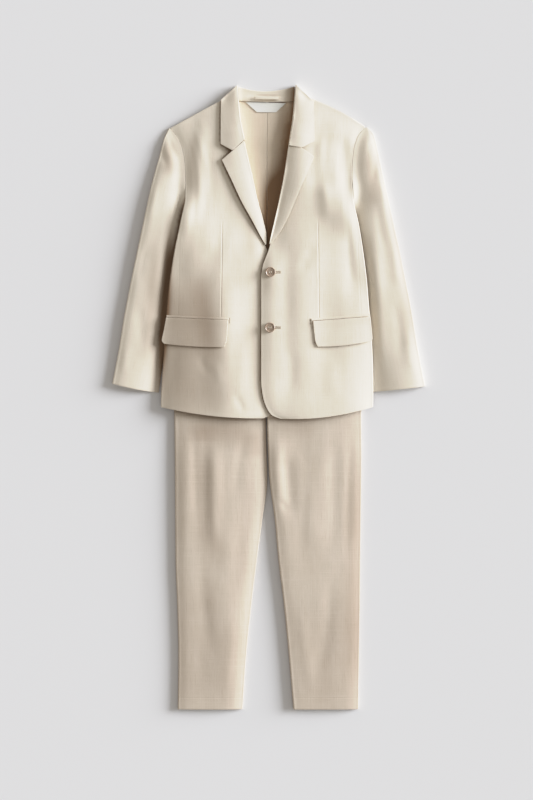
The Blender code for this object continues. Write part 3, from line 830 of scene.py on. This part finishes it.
# Collar and lapels: the roll line is a soft fold, the outer edges are pressed and lie a little open
turnedCloth = {"cell": 2.0, "softness": (6, 4), "creases": jacketCreases, "wall": 1.1, "settle": 3,
               "past": True}    # reaches past the first piece that it lies on
collarPieces = [
    {"name": "neck_label", "slot": "label_satin", "wall": 0.5, "cell": 2.0, "edge": 0.15,
     "rows": [(-44.2, 561.5, 32.8, 559.6), (-22.3, 542, 13.8, 542)], "on": bothBacks},
    {"name": "collar_stand", "cell": 2.0, "softness": (5, 4), "wall": 0.6, "edge": 0.2,
     "rows": [(-58.2, 590.5, 49.2, 590.5, -9), (-57.2, 577, 48.6, 577, -5), (-56.2, 564, 48, 563, -2)],
     "on": bothBacks, "rolls": [("top", 1.0, 1.5)],
     "restsOn": bothBacks + ["collar_fall_back"]},
    {"name": "hanger_loop", "wall": 0.8, "cell": 1.2, "softness": (1, 2), "raise": 1.8,
     "rows": [(-27, 572, 21.4, 571), (-27, 566, 21.4, 565.5)], "edge": 0.25,
     "on": ["collar_stand"]},
    {**turnedCloth, "name": "collar_fall_right", "grain": 14, "lift": (0, 8, 1.2),
     "rows": [(-91, 564, -59, 592.6), (-91.2, 530, -54, 531), (-91.3, 500, -48, 500),
              (-91.3, 480.2, -45.8, 488, 0, -16.5)],
     "on": ["front_right", "back_right"],
     "rolls": [("right", 0.7, "jacket_back_right"), ("top", 0.6, 1.5)],
     "restsOn": ["front_right"]},
    {**turnedCloth, "name": "collar_fall_left", "grain": -14, "lift": (7, 0, 1.2),
     "rows": [(50.4, 592.6, 85.4, 561), (45.2, 531, 86, 530), (40.5, 500, 86.5, 500),
              (37, 477, 86.7, 485.5, 0, -8.7)],
     "on": ["front_left", "back_left"],
     "rolls": [("left", 1.6, "jacket_back_left"), ("top", 0.5, 1.5)],
     "restsOn": ["front_left"]},
    {**turnedCloth, "name": "lapel_right", "grain": 16, "lift": (0.5, 7.0, 1.2),
     "rows": [(-89, 449.8, -46.5, 485.8), (-71.2, 413, -32, 424), (-53.7, 375, -21.5, 377),
              (-32.8, 337, -10.5, 337), (-12, 299, -4, 303), (-6, 289, -4.2, 290)],
     "on": ["front_right"],
     "rolls": [("right", 0.7, "jacket_back_right")]},
    {**turnedCloth, "name": "lapel_left", "grain": -16, "lift": (5.5, -0.5, 1.1),
     "rows": [(36.9, 476.4, 85.8, 456, 0, 6.9), (27.8, 418, 67.5, 413), (19.6, 377, 51, 375),
              (12.2, 344, 38, 344), (4.6, 311, 20, 311), (0.4, 291, 4, 292)],
     "on": ["front_left"],
     "rolls": [("left", 1.1, "jacket_back_left")]},
]

welt = 4
weltCloth = {"cell": 1.3, "softness": (1, 2), "creases": jacketCreases, "grain": 90}
flapCloth = {"cell": 2.2, "softness": (5, 4), "creases": jacketCreases, "wall": 1.1}
pocketPieces = [
    {**weltCloth, "name": "pocket_welt_right", "on": ["front_right"],
     "rows": [(-194, 155.6, -75.8, 149.9), (-194, 155.6 - welt, -75.8, 149.9 - welt)]},
    {**weltCloth, "name": "pocket_welt_left", "on": ["front_left"],
     "rows": [(80.6, 148.6, 192, 157.2), (80.6, 148.6 - welt, 192, 157.2 - welt)]},
    {**flapCloth, "name": "pocket_flap_right", "on": ["front_right"],
     "rows": [(-194.5, 151, -77.5, 145.5), (-199.5, 125, -78.5, 121), (-203, 108, -80, 107),
              (-198, 101.2, -84, 94.5, -2)]},
    {**flapCloth, "name": "pocket_flap_left", "on": ["front_left"],
     "rows": [(83.5, 144, 192.5, 152.5), (86, 120, 195, 128), (87.5, 107, 196.5, 111),
              (92.5, 95.5, 194.5, 106.5, -3)]},
]

for group, pieces in (("trousers", trouserPieces), ("body", bodyPieces), ("sleeves", sleevePieces),
                      ("collar", collarPieces), ("pockets", pocketPieces)):
    for piece in pieces:
        layCloth(piece)
    print("laid:", group)


# Soft painted shade in warm brown, in the same columns as creases, with the share of painted shade as
# height
jacketPaintedShade = [
    (-180, 300, -150, -120, 64, 0.44),
    (-150, 360, -150, 230, 26, 0.14),
    (-134, 270, -104, 60, 26, 0.34),
    (-46, 150, -42, -30, 16, 0.14),
    (-112, 140, -94, -60, 28, 0.18),
    (-143, 540, -142, 340, 13, 0.22),
    (-206, 330, -236, 30, 12, 0.12),
    (-214, 330, -228, 160, 10, 0.14),
    (-80, 530, -78, 420, 12, 0.16),
    (-38, 360, -30, 250, 12, 0.22),
    (-28, 230, -22, -60, 9, 0.14),
    (-6, 290, -2, 180, 10, 0.2),
    (-70, 590, -66, 500, 16, 0.16),
    (-186, 500, -192, 410, 14, 0.36),
    (190, 490, 202, 330, 16, 0.34),
    (226, 450, 284, 40, 15, 0.34),
    (194, 330, 206, 20, 12, 0.04),
    (-184, 370, -208, -15, 9, 0.85),      # painted shadow on the sleeve beside the jacket's side, kept last
]
# Painted shade in a narrow line near the lapel's roll edge
lapelPaintedShade = [
    (29, 450, 0, 285, 3.5, 0.3),
]
# Painted shadow on the inside of the back, under the neck opening's right-hand side
insidePaintedShade = [
    (44, 600, 14, 300, 20, 0.7),
    (10, 455, 3, 200, 20, 1.3),
]
# Painted shadow lines above and below the hanger loop, and painted shade over the stand's right end
standPaintedShade = [
    (-32, 575, 26, 574, 1.8, 0.3),
    (-32, 564, 26, 563, 1.8, 0.3),
    (48, 620, 44, 530, 11, 0.6),
]
# Painted shade on the trouser fronts: under the jacket's hem, along the folds and towards the edges
legPaintedShade = [
    (-138, -40, -104, -360, 32, 0.2),
    (-120, -300, -150, -640, 60, 0.14),
    (-62, -380, -84, -640, 24, 0.16),
    (112, -340, 112, -660, 60, 0.18),
    (-165, -60, -12, -70, 26, 0.26),
    (8, -58, 100, -62, 22, 0.14),
    (55, -40, 60, -330, 22, 0.05),
    (-30, -60, -28, -120, 22, 0.18),
    (-130, -50, -130, -90, 40, 0.12),
    (166, -20, 160, -640, 20, 0.3),
    (-34, -120, -56, -420, 16, 0.12),
    (177, -20, 171, -640, 3, 0.08),
]

# Painted shade: where light from the window side hardly gets in, the linen's colour is mixed towards a
# deep warm brown
paintedShadeSettings = {
    "pieces": {
        **dict.fromkeys(["sleeve_right_top", "sleeve_left_top", "front_right",
                         "front_left", "lapel_right", "collar_fall_right"],
                        jacketPaintedShade),
        **dict.fromkeys(["pocket_flap_right", "pocket_welt_right"], jacketPaintedShade[:-1]),
        **dict.fromkeys(["trousers_front_right", "trousers_front_left"], legPaintedShade),
        **dict.fromkeys(bothBacks, insidePaintedShade),
        "lapel_left": lapelPaintedShade,
        "collar_stand": standPaintedShade,
    },
    "turns": (-70, -35, 0, 35, 70),
    "elevations": (10, 26, 44, 62),
    "middle": 16,
    "reach": 90.0,
    "from": 0.3,
    "to": 0.85,
    "most": 0.92,
    "spread": 8,             # how often a covered point takes the mean of its neighbours
}


# Paints shade into the deepShade attribute of each listed piece: the share of rays towards the key light
# that meet a shell, with the listed patches of painted shade added
def paintShade(settings):
    together = BVHTree.FromPolygons(allPoints, allFaces)
    ways = [Vector((0, 0, 1))]
    for elevation in settings["elevations"]:
        for turn in settings["turns"]:
            way = Vector((math.cos(math.radians(elevation)), 0, math.sin(math.radians(elevation))))
            way.rotate(Matrix.Rotation(math.radians(turn + settings["middle"]), 3, "Z"))
            ways.append(way)
    for name, shadePatches in settings["pieces"].items():
        mesh = bpy.data.objects[name + ending].data
        shade = mesh.attributes.new("deepShade", "FLOAT", "POINT")
        places = np.array([vert.co[:2] for vert in mesh.vertices]) / mm
        shares = np.zeros(len(mesh.vertices), np.float32)
        covered = np.zeros(len(mesh.vertices), bool)
        for vert in mesh.vertices:
            start = vert.co + vert.normal * mm
            blocked = [together.ray_cast(start, way, settings["reach"] * mm)[0] is not None
                       for way in ways]
            shares[vert.index] = sum(blocked) / len(ways)
            covered[vert.index] = blocked[0]
        ends = np.array([edge.vertices[:] for edge in mesh.edges])
        for _ in range(settings["spread"]):
            sums = np.zeros(len(shares))
            counts = np.zeros(len(shares))
            for first, second in ((0, 1), (1, 0)):
                np.add.at(sums, ends[:, first], shares[ends[:, second]])
                np.add.at(counts, ends[:, first], 1)
            shares = np.where(covered, sums / np.maximum(counts, 1), shares)
        shares = np.clip((shares - settings["from"]) / (settings["to"] - settings["from"]), 0, 1)
        shares = settings["most"] * shares * shares * (3 - 2 * shares)
        added = creaseHeights(shadePatches, places[:, 0], places[:, 1])
        values = np.minimum(settings["most"], shares + added * (1 - shares))
        shade.data.foreach_set("value", values.astype(np.float32))


paintShade(paintedShadeSettings)
print("deep folds shaded:", len(paintedShadeSettings["pieces"]))


# The highest that a shell stands at a point and on a ring round it
def highestOn(name, x, y, radius=0.0):
    spots = [(x, y)] + [(x + radius * math.cos(k * math.pi / 4), y + radius * math.sin(k * math.pi / 4))
                        for k in range(8)]
    hits = [shellTrees[name].ray_cast(Vector((spotX * mm, spotY * mm, skyHeight)), down)[0]
            for spotX, spotY in spots]
    return max(hit.z / mm for hit in hits if hit is not None)


# Four-hole buttons, turned from their half section: radius and height from the seat
buttons = {
    "pieces": [("button_upper_dressed", "button_upper", 3.1, 236.8),
               ("button_lower_dressed", "button_lower", 2.0, 131.8)],
    "section": [(0, 0.2), (6.6, 0.2), (8.6, 0.7), (9.5, 1.5), (9.7, 2.2), (9.45, 2.8), (8.9, 3.15),
                (8.3, 3.2), (7.8, 3.0), (7.3, 2.5), (6.9, 2.25), (6.3, 2.2), (0, 2.4)],
    "turns": 72,
    "footRadius": 7.0,
    "seatGap": 0.3,
    "holeSpread": 1.9,
    "holeRadius": 1.0,
    "holeDepth": 9.0,
    "strands": 4,
    "strandWidth": 0.42,
    "strandHeight": 2.35,
}


def turnButton(settings, name, node, x, y):
    seat = highestOn("front_left", x, y, settings["footRadius"]) + settings["seatGap"]
    shape = bmesh.new()
    points = [shape.verts.new((radius, 0, height)) for radius, height in settings["section"]]
    edges = [shape.edges.new(pair) for pair in zip(points, points[1:])]
    bmesh.ops.spin(shape, geom=points + edges, axis=(0, 0, 1), cent=(0, 0, 0),
                   steps=settings["turns"], angle=2 * math.pi, use_merge=True)
    bmesh.ops.remove_doubles(shape, verts=shape.verts[:], dist=0.001)
    bmesh.ops.recalc_face_normals(shape, faces=shape.faces[:])
    drills = bmesh.new()
    spread = settings["holeSpread"]
    for side, row in ((-1, -1), (1, -1), (-1, 1), (1, 1)):
        bmesh.ops.create_cone(drills, cap_ends=True, segments=20, radius1=settings["holeRadius"],
                              radius2=settings["holeRadius"], depth=settings["holeDepth"],
                              matrix=Matrix.Translation((side * spread, row * spread, 1.5)))
    made = []
    for part in (shape, drills):
        bmesh.ops.transform(part, matrix=Matrix.Translation((x, y, seat)), verts=part.verts[:])
        bmesh.ops.scale(part, vec=(mm, mm, mm), verts=part.verts[:])
        made.append(linked(name, meshOf(name, part)))
    blank, cutter = made
    drilled = blank.modifiers.new("holes", "BOOLEAN")
    drilled.operation = "DIFFERENCE"
    drilled.object = cutter
    mesh = bpy.data.meshes.new_from_object(blank.evaluated_get(bpy.context.evaluated_depsgraph_get()))
    bpy.data.objects.remove(blank)
    bpy.data.objects.remove(cutter)
    mesh.materials.clear()
    mesh.shade_smooth()
    mesh.set_sharp_from_angle(angle=math.radians(50))
    finishPiece(name, mesh, finishes["horn_button"], [node])
    strands = []
    for side in (-1, 1):
        for k in range(settings["strands"]):
            aside = (k - (settings["strands"] - 1) / 2) * settings["strandWidth"] * 0.8
            strands.append((x + side * spread + aside, y, seat + settings["strandHeight"], 90,
                            2 * spread + 1.0, settings["strandWidth"], 0.5))
    return strands


# Small raised stitches: x, y, height of the middle, turn in degrees, length, width, thickness
def sewStitches(name, stitches, material):
    shape = bmesh.new()
    for x, y, z, turn, length, width, thickness in stitches:
        place = Matrix.LocRotScale(Vector((x, y, z)) * mm,
                                   Matrix.Rotation(math.radians(turn), 3, "Z"),
                                   Vector((length, width, thickness)) * (mm / 2))
        bmesh.ops.create_uvsphere(shape, u_segments=8, v_segments=6, radius=1.0, matrix=place)
    bmesh.ops.recalc_face_normals(shape, faces=shape.faces[:])
    mesh = meshOf(name, shape)
    mesh.shade_smooth()
    finishPiece(name, mesh, material)


# Hand-finished places: buttonholes, pocket bar tacks, label and hanger loop
sewing = {
    "holeEnd": 21.4,
    "holeStart": 9.0,
    "holeStep": 0.85,
    "stitchLength": 2.3,
    "stitchWidth": 0.6,
    "tackHeight": 10.0,
    "tackStep": 0.7,
    "pocketTacks": [(-73.8, 145.0, "front_right"), (78.6, 144.0, "front_left")],
    "labelEnds": (-42.0, 31.5),
    "labelTop": 560.2,
    "labelSlope": 0.0247,
    "labelStep": 2.4,
    "loopTacks": (-26.0, -25.4, 19.8, 20.4),
    "loopMiddle": 568.7,
}


def buttonholeStitches(settings, y):
    found = []
    x = settings["holeStart"]
    while x < settings["holeEnd"]:
        for side in (-1, 1):
            spot = y + side * (settings["stitchLength"] / 2 + 0.2)
            height = highestOn("front_left", x, spot)
            found.append((x, spot, height + 0.1, 90, settings["stitchLength"],
                          settings["stitchWidth"], 0.6))
        x += settings["holeStep"]
    height = highestOn("front_left", settings["holeEnd"], y)
    for k in range(3):
        found.append((settings["holeEnd"] + k * 0.5, y, height + 0.15, 90, 5.0, 0.6, 0.7))
    return found


def tackStitches(settings, x, y, name):
    found = []
    count = round(settings["tackHeight"] / settings["tackStep"])
    for k in range(count):
        spot = y + (k / (count - 1) - 0.5) * settings["tackHeight"]
        found.append((x, spot, highestOn(name, x, spot) + 0.15, 0, 2.0, 0.55, 0.6))
    return found


def neckStitches(settings):
    found = []
    x, end = settings["labelEnds"]
    start = x
    while x < end:
        y = settings["labelTop"] - settings["labelSlope"] * (x - start)
        found.append((x, y, highestOn("neck_label", x, y) + 0.05, 0, 1.5, 0.35, 0.35))
        x += settings["labelStep"]
    y = settings["loopMiddle"]
    for x in settings["loopTacks"]:
        found.append((x, y, highestOn("hanger_loop", x, y) + 0.1, 90, 5.0, 0.5, 0.6))
    return found


buttonThread = []
holeThread = []
for name, node, x, y in buttons["pieces"]:
    buttonThread += turnButton(buttons, name, node, x, y)
    holeThread += buttonholeStitches(sewing, y)
sewStitches("button_threads", buttonThread, seamThread)
sewStitches("buttonhole_stitches", holeThread, darkThread)
tacks = []
for x, y, name in sewing["pocketTacks"]:
    tacks += tackStitches(sewing, x, y, name)
sewStitches("pocket_bar_tacks", tacks, darkThread)
sewStitches("neck_stitches", neckStitches(sewing), seamThread)
print("sewn: buttons, buttonholes, bar tacks, label and loop")

# Studio: pale paper, one broad low light from the picture's right, soft light all round
studio = {
    "floorSize": 80.0,
    "pixel": 1.9,            # millimetres on the table for one picture element
    "pictureHeight": 800,
    "pictureCentre": (-4.3, -5.2),
    "lens": 85.0,
    "sensor": 36.0,
    "focusHeight": 8.0,
    "keyStrength": 7.0,
    "keyElevation": 13.5,
    "keyTurn": 16.0,         # degrees from the picture's right towards its top
    "keySpread": 32.0,
    "keyColour": (0.98, 1.01, 1.07),
    "skyColour": (1.0, 0.95, 0.885),
    "skyOverhead": 0.32,     # dimmer above, where the camera is, and brighter towards the sides
    "skySides": 0.22,
    "curveRange": 2.0,       # the camera's curve, from scene brightness to picture brightness
    "curve": [(0.0, 0.0), (0.2, 0.2), (0.4, 0.4), (0.58, 0.58), (0.74, 0.735), (0.95, 0.84),
              (1.3, 0.93), (2.0, 1.0)],
}


def buildStudio(settings):
    shape = bmesh.new()
    bmesh.ops.create_grid(shape, x_segments=1, y_segments=1, size=settings["floorSize"] / 2)
    mesh = meshOf("studio_floor", shape)
    mesh.materials.append(paperMaterial())
    linked("studio_floor", mesh)

    key = bpy.data.lights.new("keyLight", "SUN")
    key.energy = settings["keyStrength"]
    key.angle = math.radians(settings["keySpread"])
    key.color = settings["keyColour"]
    lamp = linked("keyLight", key)
    raised = math.radians(settings["keyElevation"])
    turned = math.radians(settings["keyTurn"])
    towards = Vector((math.cos(raised) * math.cos(turned), math.cos(raised) * math.sin(turned),
                      math.sin(raised)))
    lamp.rotation_euler = towards.to_track_quat("Z", "Y").to_euler()
    lamp.location = towards

    world = bpy.data.worlds.new("softStudioLight")
    world.use_nodes = True
    sky = world.node_tree.nodes["Background"]
    sky.inputs["Color"].default_value = (*settings["skyColour"], 1.0)
    place = addNode(world, "TexCoord").outputs["Generated"]
    height = addNode(world, "SeparateXYZ", links={"Vector": place}).outputs["Z"]
    squared = addNode(world, "Math", {"operation": "MULTIPLY"}, links={0: height, 1: height})
    total = settings["skyOverhead"] + settings["skySides"]
    strength = addNode(world, "Math", {"operation": "MULTIPLY_ADD"},
                       {1: -settings["skySides"], 2: total}, {0: squared.outputs["Value"]})
    world.node_tree.links.new(strength.outputs["Value"], sky.inputs["Strength"])
    bpy.context.scene.world = world

    camera = bpy.data.cameras.new("photoCamera")
    camera.lens = settings["lens"]
    camera.sensor_width = settings["sensor"]
    camera.clip_end = 50
    height = settings["pictureHeight"] * settings["pixel"] * mm
    distance = settings["lens"] * height / settings["sensor"]
    placed = linked("photoCamera", camera)
    centreX, centreY = settings["pictureCentre"]
    placed.location = (centreX * mm, centreY * mm, distance + settings["focusHeight"] * mm)
    bpy.context.scene.camera = placed
    view = bpy.context.scene.view_settings
    view.view_transform = "Standard"
    view.use_curve_mapping = True
    view.curve_mapping.white_level = (settings["curveRange"],) * 3
    shoulder = view.curve_mapping.curves[3]
    for bright, shown in settings["curve"][1:-1]:
        shoulder.points.new(bright / settings["curveRange"], shown)
    view.curve_mapping.update()


buildStudio(studio)
print("studio set")
